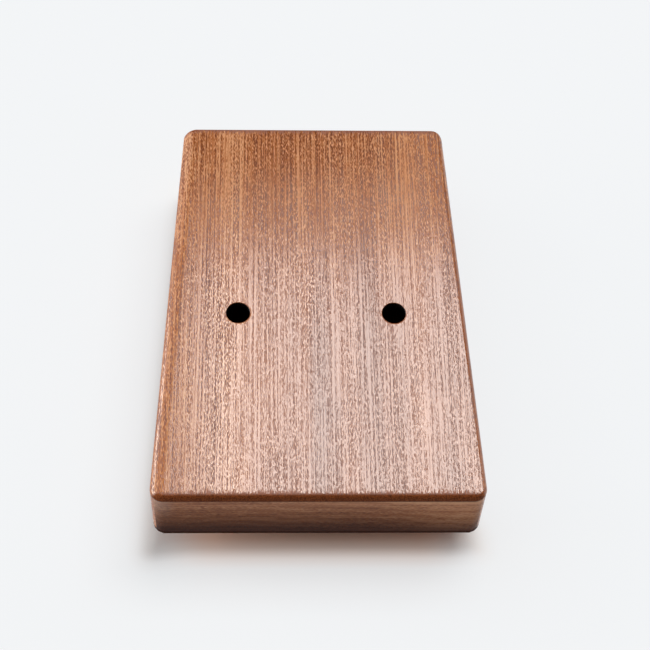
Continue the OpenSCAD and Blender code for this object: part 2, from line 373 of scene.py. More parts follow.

# Walls: how calm the grain is, and the end walls' lift, painted light towards -X, growth rings, painted sheen
# and painted shade
SIDE_CALM = 0.75
WALL_CALM = 0.7
WALL_LIFT = 0.09
# painted light: how much paler the end walls are made towards -X, and where
WALL_PAINTED_LIGHT = 0.2
PAINTED_LIGHT_X = (-55.0, -10.0)
FIGURE = 0.11
FIGURE_X = 32.0
FIGURE_SLOPE = 0.11
FIGURE_BLUNT = 14.0
FIGURE_PITCH = 5.5
FIGURE_DRIFT = 9.0
FIGURE_MARKS = (12.0, 12.0, 1.0)
# Painted sheen on the end walls: its share, the extra at the +X corner, its share low down, and where it
# changes
WALL_SHEEN_SHARE = 0.13
WALL_SHEEN_CORNER = 0.2
WALL_SHEEN_LOW = 0.15
WALL_SHEEN_X = (56.0, 64.0)
WALL_SHEEN_Z = (BOARD_BACK + 6.0, BACK_UNDER)
# Painted shade low on the end walls: its strength, how much lower it starts on the -X side, and where it
# changes
WALL_SHADE_SHARE = 0.97
WALL_SHADE_RISE = 4.5
WALL_SHADE_X = (-60.0, -15.0)
WALL_SHADE_Z = (BOARD_FACE + 2.0, BACK_UNDER + 3.0)

# Node, finish and shift to another piece of wood, in metres
SIDE_WALLS = (
    ("left_wall", "mahogany_left", (0.13, 0.0, 0.02)),
    ("right_wall", "mahogany_right", (0.31, 0.0, 0.05)))
END_WALLS = (
    ("head_wall", "mahogany_head", (0.45, 0.1, 0.0)),
    ("tail_wall", "mahogany_tail", (0.57, 0.2, 0.03)))
FRONT_SHIFT = (0.72, 0.0, 0.0)


def ripple(tree, place):
    """Sine across the grain whose phase drifts, so that its lines stay apart without being straight or
    even."""
    x, _, z = split(tree, place)
    across = sum_up(tree, "ADD", x, z)
    drift = sum_up(tree, "MULTIPLY", streaks(tree, place, *DRIFT_MARKS), LINE_DRIFT)
    turns = 2 * math.pi / (LINE_PITCH * MM)
    return sum_up(tree, "SINE", sum_up(tree, "MULTIPLY_ADD", across, turns, drift))


def pore_dashes(tree, place, lines):
    """Short dashes that keep to the dark lines, and crowd in some bands and thin out in others."""
    dashes = streaks(tree, place, *DASH_MARKS)
    crowd = ease(tree, streaks(tree, place, *CROWD_MARKS), *CROWD)
    crowd = sum_up(tree, "MULTIPLY", crowd, ease(tree, lines, *DARK_LINES))
    return sum_up(tree, "MULTIPLY_ADD", sum_up(tree, "SUBTRACT", dashes, 0.5), crowd, 0.5)


def grain(tree, place, calm=1.0, crisp=1.0):
    """Tone of the wood from 0 to 1, its fine streaks and its pores: broad bands and clouds, and cells made
    of long thin lines, fine streaks, dashes and a ripple. The pores are the darkest cells."""
    bands = streaks(tree, place, *BAND_MARKS)
    clouds = streaks(tree, place, *CLOUD_MARKS)
    lines = streaks(tree, place, *LINE_MARKS)
    fine = streaks(tree, place, *FINE_MARKS)
    dashes = pore_dashes(tree, place, lines)
    cells = weigh(tree, [(dashes, DASH_WEIGHT), (fine, FINE_WEIGHT), (lines, LINE_WEIGHT)])
    cells = sum_up(tree, "MULTIPLY_ADD", ripple(tree, place), RIPPLE_WEIGHT, cells)
    cell_weight = sum_up(tree, "MULTIPLY", crisp, CELL_WEIGHT * calm)
    tone = weigh(tree, [(bands, BAND_WEIGHT / calm), (clouds, CLOUD_WEIGHT), (cells, cell_weight)])
    return tone, fine, ease_line(tree, cells, PORE_EDGE, PORE_FLOOR)


def lacquer(tree, shader, wood, pores, cut=None, level=None):
    """Coat over the wood: duller in the pores, which are sunk into it, and on cut ends. A level makes it a
    matt coat of that gloss."""
    dull = sum_up(tree, "MULTIPLY_ADD", pores, DULL - SHINY, SHINY)
    if cut is not None:
        dull = sum_up(tree, "MAXIMUM", dull, sum_up(tree, "MULTIPLY", cut, END_DULL))
    feed(tree, shader.inputs["Base Color"], wood)
    feed(tree, shader.inputs["Roughness"], dull)
    shader.inputs["IOR"].default_value = MATT_IOR if level else LACQUER_IOR
    shader.inputs["Specular IOR Level"].default_value = level or LACQUER_LEVEL
    raise_bump(tree, shader, sum_up(tree, "SUBTRACT", 1.0, pores), PORE_DEPTH)


def end_grain(tree, y, fine, end_at, wood):
    """Dark cut ends past a distance from the middle, with a ragged border: the colour and the share of end
    grain."""
    reach = sum_up(tree, "ABSOLUTE", y)
    ragged = sum_up(tree, "MULTIPLY_ADD", sum_up(tree, "SUBTRACT", fine, 0.5), END_RAGGED * MM, reach)
    cut = ease_mm(tree, ragged, (end_at - END_START, end_at + END_FULL))
    cells = blend_colour(tree, ease(tree, fine, *END_CELLS), END_DARK, END_LIGHT)
    return blend_colour(tree, cut, wood, cells), cut


def glue_and_shade_lines(tree, z, seams_and_shade, wood):
    """Dark lines at the given levels, each with its half width: glue lines at the joints, and painted shade
    along the soundboard's edge.
    """
    for level, half in seams_and_shade:
        near = sum_up(tree, "ABSOLUTE", sum_up(tree, "SUBTRACT", z, level * MM))
        share = ease_mm(tree, near, (half, half + SEAM_AND_SHADE_SOFT), SEAM_AND_SHADE_SHARE, 0.0)
        wood = blend_colour(tree, share, wood, SEAM_AND_SHADE_BROWN)
    return wood


def panel_crisp(tree, x, y):
    """How strongly the grain colours the back panel: most at the player's end and least at the head end,
    except towards the +X side."""
    crisp = ease_mm(tree, y, CRISP_Y, FAR_CRISP, NEAR_CRISP)
    return sum_up(tree, "MAXIMUM", crisp, ease_mm(tree, x, SIDE_CRISP_X, 0.0, SIDE_CRISP))


def panel_tone(tree, x, y, tone):
    """The back panel's broad tones: darker towards the head end on the -X side, and along the middle towards
    the player's end."""
    fade = sum_up(tree, "MULTIPLY", ease_mm(tree, x, FADE_X, FADE, 0.0), ease_mm(tree, y, FADE_Y))
    heart = ease_mm(tree, sum_up(tree, "ABSOLUTE", x), HEART_OFF, HEART, HEART_EDGE)
    heart = sum_up(tree, "MULTIPLY", heart, ease_mm(tree, y, HEART_Y, 1.0, 0.0))
    return sum_up(tree, "SUBTRACT", sum_up(tree, "SUBTRACT", tone, fade), heart)


def filled_pores(tree, x, y, pores):
    """The back panel's pores, which thick lacquer fills at the player's end, except along the -X edge."""
    thick = sum_up(tree, "MULTIPLY", ease_mm(tree, y, FILLED_Y, FILLED, 0.0), ease_mm(tree, x, FILLED_X))
    return sum_up(tree, "MULTIPLY", pores, sum_up(tree, "SUBTRACT", 1.0, thick))


def painted_hole_shade(tree, x, y, wood):
    """Painted shade: black inside the two finger holes, by the distance from their middles."""
    side = sum_up(tree, "SUBTRACT", sum_up(tree, "ABSOLUTE", x), FINGER_HOLE_X * MM)
    away = sum_up(tree, "SUBTRACT", y, FINGER_HOLE_Y * MM)
    squares = sum_up(tree, "MULTIPLY_ADD", side, side, sum_up(tree, "MULTIPLY", away, away))
    rim = ease_mm(tree, sum_up(tree, "SQRT", squares), HOLE_SOFT)
    return blend_colour(tree, rim, HOLE_PAINTED_SHADE, wood)


def back_mahogany(name):
    """Back panel: open-grained wood under glossy lacquer, with cut ends and painted shade in the finger holes.
    """
    made, tree, shader = new_finish(name)
    x, y, _ = split(tree, object_place(tree))
    place = turned_place(tree, "Y", NO_SHIFT)
    tone, fine, pores = grain(tree, place, crisp=panel_crisp(tree, x, y))
    wood = ramp(tree, panel_tone(tree, x, y, tone), MAHOGANY)
    wood, cut = end_grain(tree, y, fine, BACK_END, wood)
    wood = painted_hole_shade(tree, x, y, wood)
    lacquer(tree, shader, wood, filled_pores(tree, x, y, pores), cut)
    return made


def plain_mahogany(name, shift, level, calm=1.0, end_at=None, seams_and_shade=()):
    """Wood with its grain along Y under a matt coat, with cut ends, and glue lines or a painted shade line
    where it has them.
    """
    made, tree, shader = new_finish(name)
    _, y, z = split(tree, object_place(tree))
    tone, fine, pores = grain(tree, turned_place(tree, "Y", shift), calm)
    wood = ramp(tree, tone, MAHOGANY)
    cut = None
    if end_at:
        wood, cut = end_grain(tree, y, fine, end_at, wood)
    lacquer(tree, shader, glue_and_shade_lines(tree, z, seams_and_shade, wood), pores, cut, level)
    return made


def arcs(tree, x, z):
    """Sine of the height plus a hyperbola over the distance from a middle, as growth rings show in a wall
    that is cut along them; a noise makes their spacing uneven."""
    bow = sum_up(tree, "SUBTRACT", x, FIGURE_X * MM)
    squares = sum_up(tree, "MULTIPLY_ADD", bow, bow, (FIGURE_BLUNT * MM) ** 2)
    height = sum_up(tree, "MULTIPLY_ADD", sum_up(tree, "SQRT", squares), FIGURE_SLOPE, z)
    drift = sum_up(tree, "MULTIPLY", streaks(tree, object_place(tree), *FIGURE_MARKS), FIGURE_DRIFT)
    turns = 2 * math.pi / (FIGURE_PITCH * MM)
    return sum_up(tree, "SINE", sum_up(tree, "MULTIPLY_ADD", height, turns, drift))


def painted_sheen_on(tree, x, z, wood):
    """Painted sheen: a pale grey mixed into the upper part of an end wall, stronger at the +X corner."""
    corner = ease_mm(tree, x, WALL_SHEEN_X, WALL_SHEEN_SHARE, WALL_SHEEN_SHARE + WALL_SHEEN_CORNER)
    high = ease_mm(tree, z, WALL_SHEEN_Z, WALL_SHEEN_LOW, 1.0)
    return blend_colour(tree, sum_up(tree, "MULTIPLY", corner, high), wood, PAINTED_SHEEN)


def painted_wall_shade(tree, x, z, wood):
    """Painted shade that darkens an end wall towards the soundboard, and starts lower on the -X side."""
    raised = sum_up(tree, "ADD", z, ease_mm(tree, x, WALL_SHADE_X, WALL_SHADE_RISE * MM, 0.0))
    low = ease_mm(tree, raised, WALL_SHADE_Z, WALL_SHADE_SHARE, 0.0)
    return blend_colour(tree, low, wood, PAINTED_SHADE, "MULTIPLY")


def wall_mahogany(name, shift):
    """End wall: grain along X with arcs of growth rings, painted light that makes it paler towards -X, painted
    sheen on its upper part and painted shade towards the soundboard, under a matt coat.
    """
    made, tree, shader = new_finish(name)
    x, _, z = split(tree, object_place(tree))
    tone, _, pores = grain(tree, turned_place(tree, "X", shift), WALL_CALM)
    # painted light: the tone is raised towards -X
    tone = sum_up(tree, "ADD", tone, ease_mm(tree, x, PAINTED_LIGHT_X, WALL_LIFT + WALL_PAINTED_LIGHT, WALL_LIFT))
    tone = sum_up(tree, "MULTIPLY_ADD", arcs(tree, x, z), FIGURE, tone)
    wood = glue_and_shade_lines(tree, z, SEAMS, ramp(tree, tone, MAHOGANY))
    # painted sheen on the upper part, then painted shade towards the soundboard
    wood = painted_wall_shade(tree, x, z, painted_sheen_on(tree, x, z, wood))
    lacquer(tree, shader, wood, pores, level=WALL_LEVEL)
    return made


# Spruce and rosewood: colours, sizes and weights of the broad marks and the fibres, roughness and depth
SPRUCE = ((0.2, rgb(0.36, 0.22, 0.09)), (0.5, rgb(0.60, 0.40, 0.18)), (0.8, rgb(0.70, 0.52, 0.28)))
SPRUCE_YEARS = (1.6, 120.0, 1.0, 0.3)
SPRUCE_FIBRES = (0.4, 12.0, 2.0)
SPRUCE_WEIGHTS = (1.2, 0.5)
SPRUCE_DULL = (0.3, 0.7, 0.55, 0.75)
SPRUCE_DEPTH = 0.04
ROSEWOOD = ((0.25, rgb(0.012, 0.006, 0.005)), (0.5, rgb(0.05, 0.016, 0.009)), (0.8, rgb(0.12, 0.045, 0.02)))
ROSEWOOD_BANDS = (2.6, 90.0, 3.0, 0.4)
ROSEWOOD_FIBRES = (0.35, 7.0, 1.0)
ROSEWOOD_WEIGHTS = (1.1, 0.6)
ROSEWOOD_DULL = (0.35, 0.65, 0.35, 0.6)
ROSEWOOD_DEPTH = 0.03
ROSEWOOD_SHIFT = (0.02, 0.0, 0.0)


def bare_wood(name, shift, broad, fibre, weights, colours, dull, depth):
    """Wood with no coat and its grain along X: broad marks and fibres, which also dull and raise it."""
    made, tree, shader = new_finish(name)
    place = turned_place(tree, "X", shift)
    fibres = streaks(tree, place, *fibre)
    tone = weigh(tree, zip((streaks(tree, place, *broad), fibres), weights))
    feed(tree, shader.inputs["Base Color"], ramp(tree, tone, colours))
    feed(tree, shader.inputs["Roughness"], ease(tree, fibres, *dull))
    raise_bump(tree, shader, fibres, depth)
    return made


def spruce(name):
    """Pale bare wood with close growth lines."""
    return bare_wood(name, NO_SHIFT, SPRUCE_YEARS, SPRUCE_FIBRES, SPRUCE_WEIGHTS, SPRUCE,
                     SPRUCE_DULL, SPRUCE_DEPTH)


def rosewood(name):
    """Dark oiled wood with brown and nearly black streaks."""
    return bare_wood(name, ROSEWOOD_SHIFT, ROSEWOOD_BANDS, ROSEWOOD_FIBRES, ROSEWOOD_WEIGHTS, ROSEWOOD,
                     ROSEWOOD_DULL, ROSEWOOD_DEPTH)


# Steel: drawn lines and smudges, shaded colour, and roughness about a middle
STEEL_LINES = (0.12, 9.0, 2.0)
STEEL_SMUDGES = (7.0, 16.0, 3.0)
STEEL_WEIGHT = 0.5
STEEL_SHADE = 0.72
STEEL_SHADED = 0.2
STEEL_LIT = 0.7
STEEL_TONES = (0.2, 0.8)
STEEL_DULLER = 0.08
STEEL_SHINIER = 0.06
STEEL_DEPTH = 0.006
POLISHED = (0.74, 0.75, 0.77)
POLISHED_DULL = 0.2
SPRING = (0.82, 0.82, 0.83)
SPRING_DULL = 0.24


def brushed_steel(name, along, colour, dull):
    """Bright metal with fine drawn lines along one axis."""
    made, tree, shader = new_finish(name)
    place = turned_place(tree, along, NO_SHIFT)
    lines = streaks(tree, place, *STEEL_LINES)
    smudges = streaks(tree, place, *STEEL_SMUDGES)
    tone = weigh(tree, [(lines, STEEL_WEIGHT), (smudges, STEEL_WEIGHT)])
    shade = rgb(*(STEEL_SHADE * part for part in colour))
    stops = [(STEEL_SHADED, shade), (STEEL_LIT, rgb(*colour))]
    feed(tree, shader.inputs["Base Color"], ramp(tree, tone, stops))
    rough = ease(tree, tone, *STEEL_TONES, dull + STEEL_DULLER, dull - STEEL_SHINIER)
    feed(tree, shader.inputs["Roughness"], rough)
    shader.inputs["Metallic"].default_value = 1.0
    raise_bump(tree, shader, lines, STEEL_DEPTH)
    return made


# Mesh building

def grid_faces(rows, columns, around=False):
    """Quads of a grid of points, by number; around joins the last column to the first."""
    across = columns if around else columns - 1
    row, column = np.meshgrid(np.arange(rows - 1), np.arange(across), indexing="ij")
    beside = (column + 1) % columns
    this_row = row * columns
    next_row = (row + 1) * columns
    quads = [this_row + column, this_row + beside, next_row + beside, next_row + column]
    return np.stack(quads, -1).reshape(-1, 4)


def closed_piece(name, patches, sharp, caps=()):
    """One object from patches of points in millimetres and their faces, welded where they meet, facing
    outwards."""
    starts = np.cumsum([0] + [len(points) for points, _ in patches])
    points = np.concatenate([points for points, _ in patches]) * MM
    faces = np.concatenate([quads + start for (_, quads), start in zip(patches, starts)]).tolist()
    mesh = bpy.data.meshes.new(name)
    mesh.from_pydata(points.tolist(), [], faces + [list(map(int, cap)) for cap in caps])
    work = bmesh.new()
    work.from_mesh(mesh)
    bmesh.ops.remove_doubles(work, verts=work.verts, dist=WELD * MM)
    bmesh.ops.dissolve_degenerate(work, edges=work.edges, dist=WELD * MM)
    bmesh.ops.recalc_face_normals(work, faces=work.faces)
    work.to_mesh(mesh)
    work.free()
    mesh.polygons.foreach_set("use_smooth", np.ones(len(mesh.polygons), bool))
    mesh.set_sharp_from_angle(angle=math.radians(sharp))
    piece = bpy.data.objects.new(name, mesh)
    bpy.context.scene.collection.objects.link(piece)
    return piece


# Back panel

def half_width(y):
    """Half the box's width at a place along it: a straight line from the player's end to the head end."""
    return MIDDLE_HALF_W + y * math.tan(LEAN)


def half_outline(side, end, radius):
    """The +X half of the tapered outline, from the middle of the head end to the middle of the player's end:
    straight run, circle arc, leaning side, circle arc, straight run. Side and end are insets, with one row
    of points for each."""
    side, end, radius = (np.asarray(size, float)[:, None] for size in (side, end, radius))
    reach = BOX_HALF_L - end - radius
    head_x = half_width(reach) - (side + radius) / math.cos(LEAN)
    tail_x = half_width(-reach) - (side + radius) / math.cos(LEAN)
    run = np.linspace(0, 1, END_POINTS, endpoint=False)
    head_turn = np.linspace(math.pi / 2, -LEAN, CORNER_POINTS, endpoint=False)
    along = np.linspace(0, 1, SIDE_POINTS, endpoint=False)
    tail_turn = np.linspace(-LEAN, -math.pi / 2, CORNER_POINTS, endpoint=False)
    back = np.linspace(1, 0, END_POINTS + 1)
    x = [head_x * run,
         head_x + radius * np.cos(head_turn),
         head_x + radius * math.cos(LEAN) + (tail_x - head_x) * along,
         tail_x + radius * np.cos(tail_turn),
         tail_x * back]
    y = [reach + radius + 0 * run,
         reach + radius * np.sin(head_turn),
         reach * (1 - 2 * along) - radius * math.sin(LEAN),
         radius * np.sin(tail_turn) - reach,
         0 * back - reach - radius]
    return np.stack([np.concatenate(x, 1), np.concatenate(y, 1)], -1)


def whole_outline(plus_side, minus_side, end, radius):
    """The closed outline: the +X half and the mirror image of the -X half, starting at the middle of the
    head end."""
    plus = half_outline(plus_side, end, radius)
    minus = half_outline(minus_side, end, radius) * (-1, 1)
    return np.concatenate([plus, minus[:, -2:0:-1]], 1)


def panel_edge_rings():
    """Outlines and drops of the rings down the panel's edge: flat border, a shoulder whose drop is part a
    power of the way out and part a quarter circle, an upright land and the seam's chamfer. The shoulder has
    its own width on each side and on the ends."""
    turn = np.linspace(0, math.pi / 2, SHOULDER_STEPS)
    share = np.concatenate([1 - np.sin(turn), [0]])
    fall = SHOULDER_SHARE * np.sin(turn) ** SHOULDER_POWER + (1 - SHOULDER_SHARE) * (1 - np.cos(turn))
    thickness = BACK_TOP - BACK_UNDER
    insets = [np.concatenate([[width + FLAT_BORDER], width * share, [SEAM_CHAMFER]])
              for width in (PLUS_SHOULDER, MINUS_SHOULDER, END_ROUND)]
    drop = np.concatenate([[0], SHOULDER_DROP * fall, [thickness - SEAM_CHAMFER, thickness]])
    radius = CORNER_R - (CORNER_R - FLAT_CORNER_R) * np.concatenate([[1], share, [0]])
    return whole_outline(*insets, radius), drop


def half_border(ring, sign):
    """The border of one half of a flat: its half of the ring and the middle line, as a closed loop."""
    half = len(ring) // 2
    outer = ring[:half + 1] if sign > 0 else np.concatenate([ring[half:], ring[:1]])
    line_y = np.linspace(outer[-1, 1], outer[0, 1], MIDDLE_POINTS)[1:-1]
    return np.concatenate([outer, np.stack([0 * line_y, line_y], -1)])


def hole_angles(border, middle):
    """Directions from a finger hole's middle to the border's points, without jumps."""
    return np.unwrap(np.arctan2(border[:, 1] - middle[1], border[:, 0] - middle[0]))


def circle_points(middle, radius, angles, level):
    """Points on a level circle about a finger hole."""
    flat = np.stack([middle[0] + radius * np.cos(angles), middle[1] + radius * np.sin(angles)], -1)
    return np.concatenate([flat, np.full((len(flat), 1), level)], 1)


def flat_patch(border, middle, hole_r, level, support):
    """Flat of one half: straight lines from the hole's circle, through a close support circle where one is
    given, to the border."""
    angles = hole_angles(border, middle)
    rows = [circle_points(middle, hole_r, angles, level)]
    if support:
        rows.append(circle_points(middle, hole_r + support, angles, level))
    rows.append(np.concatenate([border, np.full((len(border), 1), level)], 1))
    return np.concatenate(rows), grid_faces(len(rows), len(border), True)


def finger_hole_patch(top_border, under_border, middle):
    """Wall of one finger hole: a quarter round rim, then straight down to the underside."""
    top_angles = hole_angles(top_border, middle)
    under_angles = hole_angles(under_border, middle)
    turn = np.linspace(0, math.pi / 2, RIM_STEPS)
    radii = np.concatenate([FINGER_HOLE_R + FINGER_HOLE_RIM * (1 - np.sin(turn)), [FINGER_HOLE_R]])
    levels = np.concatenate([BACK_TOP - FINGER_HOLE_RIM * (1 - np.cos(turn)), [BACK_UNDER]])
    shares = (BACK_TOP - levels) / (BACK_TOP - BACK_UNDER)
    rows = [circle_points(middle, radius, top_angles + share * (under_angles - top_angles), level)
            for radius, level, share in zip(radii, levels, shares)]
    return np.concatenate(rows), grid_faces(len(rows), len(top_border), True)


def mark_ends(mesh):
    """Gives the steep part of both end roundings the second finish."""
    middles = np.empty(3 * len(mesh.polygons))
    mesh.polygons.foreach_get("center", middles)
    middles = middles.reshape(-1, 3) / MM
    at_end = np.abs(middles[:, 1]) > BACK_END
    steep = middles[:, 2] < BACK_TOP - MATT_DROP
    mesh.polygons.foreach_set("material_index", (at_end & steep).astype(np.int32))


def make_back_panel():
    """Closed board: the edge is a ring of outlines carried down the edge's profile, and each half of both
    flats is a fan of straight lines between its finger hole and its border."""
    rings, drop = panel_edge_rings()
    levels = np.broadcast_to((BACK_TOP - drop)[:, None, None], rings.shape[:2] + (1,))
    edge = np.concatenate([rings, levels], -1).reshape(-1, 3)
    patches = [(edge, grid_faces(rings.shape[0], rings.shape[1], True))]
    for sign in (1, -1):
        middle = (sign * FINGER_HOLE_X, FINGER_HOLE_Y)
        top = half_border(rings[0], sign)
        under = half_border(rings[-1], sign)
        patches.append(flat_patch(top, middle, FINGER_HOLE_R + FINGER_HOLE_RIM, BACK_TOP, RIM_BORDER))
        patches.append(flat_patch(under, middle, FINGER_HOLE_R, BACK_UNDER, 0))
        patches.append(finger_hole_patch(top, under, middle))
    panel = closed_piece("back_panel_shouldered", patches, PANEL_SHARP)
    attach(panel, "box")
    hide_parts("back_panel")
    return panel


# Tines

def tine_height(s, free, rise):
    """Height of a tine's middle over the soundboard at the distance s before the front saddle: raised tail,
    dip under the bar, straight rise, parabola at the tip; averaged over a short stretch so that the bends
    are soft."""
    reach = np.linspace(-BEND_EASE, BEND_EASE, BEND_POINTS)
    at = np.asarray(s, float)[..., None] + reach
    tail = TINE_LIFT - (at + SADDLE_SPAN) * TAIL_RISE
    clamped = TINE_LIFT - TINE_DIP * (1 - np.abs(2 * at / SADDLE_SPAN + 1))
    bend = np.maximum(0, at - free + TIP_BEND) / TIP_BEND
    open_part = TINE_LIFT + rise * at + TIP_KICK * bend ** 2
    return np.where(at < -SADDLE_SPAN, tail, np.where(at < 0, clamped, open_part)).mean(-1)


def tine_slope(s, free, rise):
    """Slope of the tine's middle line: the difference of two heights close to each other over their
    distance."""
    ahead = tine_height(s + SLOPE_STEP, free, rise)
    behind = tine_height(s - SLOPE_STEP, free, rise)
    return (ahead - behind) / (2 * SLOPE_STEP)


def tine_section():
    """Half of the section's border from the underside to the top: inset from the side and height over the
    middle, with a quarter circle at each edge."""
    turn = np.linspace(-math.pi / 2, 0, EDGE_STEPS + 1)
    inset = TINE_EDGE_R * (1 - np.cos(turn))
    height = -(TINE_T / 2 - TINE_EDGE_R) + TINE_EDGE_R * np.sin(turn)
    return np.concatenate([inset, inset[::-1]]), np.concatenate([height, -height[::-1]])


def tine_plan(free, tip_r):
    """Grid of distances before the front saddle, places across and heights in the section. The half width
    is constant at the root, widens in a straight line and follows a half circle at the tip; each level of
    the section is inset by its rounding."""
    inset, height = tine_section()
    shoulder = free - tip_r
    straight = np.linspace(-SADDLE_SPAN - TINE_TAIL, shoulder, TINE_STATIONS, endpoint=False)[:, None]
    half_w = np.interp(straight, [TINE_ROOT_RUN, shoulder], [TINE_ROOT_W / 2, tip_r])
    turn = np.linspace(0, math.pi / 2, TIP_STATIONS)[:, None]
    tail_share = np.zeros_like(straight)
    tail_share[0] = 1
    s = np.concatenate([straight + tail_share * inset, shoulder + (tip_r - inset) * np.sin(turn)])
    out = np.concatenate([half_w - inset, (tip_r - inset) * np.cos(turn)])
    level = np.concatenate([height + 0 * s, height[::-1] + 0 * s], 1)
    return np.concatenate([s, s[:, ::-1]], 1), np.concatenate([out, -out[:, ::-1]], 1), level


def make_tine(joint):
    """Spring steel strip: a rounded section carried along the tine's bent line, upright to its slope, and
    lifted to the ground where its lowest point would be below it."""
    name = joint["child"]
    low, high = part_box(name)
    x = joint["pos_m"][0] / MM
    saddle_y = joint["pos_m"][1] / MM
    free = saddle_y - low.y / MM
    tip_r = (high.x - low.x) / MM / 2
    rise = (BOARD_FACE - TINE_LIFT - TIP_KICK - TINE_T / 2) / free
    s, out, level = tine_plan(free, tip_r)
    slope = tine_slope(s, free, rise)
    lean = 1 / np.sqrt(1 + slope ** 2)
    down = tine_height(s, free, rise) + level * lean
    forward = s - level * slope * lean
    points = np.stack([x + out, saddle_y - forward, BOARD_FACE - down], -1)
    points[..., 2] -= min(0.0, points[..., 2].min())
    rows, columns = s.shape
    patch = (points.reshape(-1, 3), grid_faces(rows, columns, True))
    strip = closed_piece(name + "_strip", [patch], TINE_SHARP, caps=[np.arange(columns)])
    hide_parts(name)
    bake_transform(strip)
    return strip


# Studio

def make_camera():
    """Camera of the fitted place, turned by yaw, pitch and roll."""
    pitch, yaw, roll = (math.radians(angle) for angle in (CAMERA_PITCH, CAMERA_YAW, CAMERA_ROLL))
    ahead = Vector((-math.sin(yaw) * math.cos(pitch), math.cos(yaw) * math.cos(pitch), -math.sin(pitch)))
    level = Vector((math.cos(yaw), math.sin(yaw), 0.0))
    upward = level.cross(ahead)
    right = math.cos(roll) * level + math.sin(roll) * upward
    top = math.cos(roll) * upward - math.sin(roll) * level
    turn = Matrix((right, top, -ahead)).transposed().to_4x4()
    data = bpy.data.cameras.new("camera")
    data.lens = LENS
    data.sensor_width = SENSOR
    data.clip_start = CLIP_NEAR
    data.clip_end = CLIP_FAR
    camera = bpy.data.objects.new("camera", data)
    camera.matrix_world = Matrix.Translation(Vector(CAMERA_AT) * MM) @ turn
    bpy.context.scene.collection.objects.link(camera)
    bpy.context.scene.camera = camera


def hang_lamp(name, middle, size, radiance, tint):
    """A rectangular softbox at a place, facing down, whose face has a given radiance."""
    data = bpy.data.lights.new(name, "AREA")
    data.shape = "RECTANGLE"
    data.size, data.size_y = size
    data.energy = radiance * math.pi * size[0] * size[1]
    data.color = tint
    lamp = bpy.data.objects.new(name, data)
    lamp.location = middle
    lamp.visible_camera = False
    bpy.context.scene.collection.objects.link(lamp)
    return lamp


def make_lamps():
    """A wide overhead softbox past the object, and a low one on the picture's left that draws the light line
    there."""
    across = (KEY_LEFT + KEY_RIGHT) / 2
    away = (KEY_NEAR + KEY_FAR) / 2
    size = ((KEY_RIGHT - KEY_LEFT) * KEY_HEIGHT, (KEY_FAR - KEY_NEAR) * KEY_HEIGHT)
    hang_lamp("softbox", Vector((-across, -away, 1.0)) * KEY_HEIGHT, size, KEY_RADIANCE, KEY_TINT)
    height = (SIDE_LOW + SIDE_HIGH) / 2
    away = (SIDE_NEAR + SIDE_FAR) / 2
    size = ((SIDE_HIGH - SIDE_LOW) * SIDE_DISTANCE, (SIDE_FAR - SIDE_NEAR) * SIDE_DISTANCE)
    middle = Vector((1.0, -away, height)) * SIDE_DISTANCE
    side = hang_lamp("side_softbox", middle, size, SIDE_RADIANCE, KEY_TINT)
    side.rotation_euler = (0.0, math.pi / 2, 0.0)


def backdrop_rays(tree):
    """One for rays that see the backdrop itself: from the camera, off gloss or through glass."""
    path = put(tree, "ShaderNodeLightPath")
    seen = sum_up(tree, "MAXIMUM", path.outputs["Is Camera Ray"], path.outputs["Is Glossy Ray"])
    return sum_up(tree, "MAXIMUM", seen, path.outputs["Is Transmission Ray"])


def make_world():
    """Soft light from all round, weaker from the head end, and a pale backdrop low down that gives way to a
    dim ceiling, except on the +X side; gloss sees little of it on the head end's side."""
    world = bpy.data.worlds.new("studio")
    world.use_nodes = True
    tree = world.node_tree
    tree.nodes.clear()
    x, y, z = split(tree, put(tree, "ShaderNodeTexCoord").outputs["Generated"])
    white = grey(BACKDROP_WHITE)
    ceiling = blend_colour(tree, ease(tree, x, *CEILING_X), grey(CEILING_GREY), white)
    backdrop = blend_colour(tree, ease(tree, z, *CEILING_Z), white, ceiling)
    gloss = put(tree, "ShaderNodeLightPath").outputs["Is Glossy Ray"]
    shade = sum_up(tree, "MULTIPLY", gloss, ease(tree, y, *GLOSS_Y, 0.0, GLOSS_SHADE))
    backdrop = blend_colour(tree, shade, backdrop, ceiling)
    glow = sum_up(tree, "MULTIPLY", ease(tree, y, *AMBIENT_Y, 1.0, AMBIENT_HEAD), AMBIENT)
    light = put(tree, "ShaderNodeCombineColor", {0: glow, 1: glow, 2: glow}).outputs[0]
    colour = blend_colour(tree, backdrop_rays(tree), light, backdrop)
    sky = put(tree, "ShaderNodeBackground", {"Color": colour, "Strength": 1.0})
    put(tree, "ShaderNodeOutputWorld", {"Surface": sky.outputs[0]})
    bpy.context.scene.world = world


# Floor: half its side in metres, and its paper
FLOOR_HALF = 6.0
FLOOR_POINTS = 9
FLOOR_WHITE = 0.93
PAPER_COOL = rgb(0.9, 0.91, 0.93)
PAPER_MARKS = (6.0, 6.0, 3.0)
PAPER_FIBRES = 0.02
PAPER_DULL = 0.9

# Share of its own light in what the backdrop's rays see of the floor, by millimetres past the box
FLOOR_REACH = 100.0
FLOOR_START = -10.0
FLOOR_SHARES = ((-10, 0.0), (-5, 0.05), (0, 0.2), (5, 0.63), (9, 0.76), (20, 0.82), (40, 0.88), (85, 0.95))
FLOOR_GLOW = rgb(0.896, 0.913, 0.93)

# How much the shade is drawn in on the -X side and let out on the +X side
DRAWN_IN = 14.0
DRAWN_X = (-80.0, -45.0)
DRAWN_Y = (60.0, 90.0)
LET_OUT = 2.5
LET_X = (50.0, 75.0)

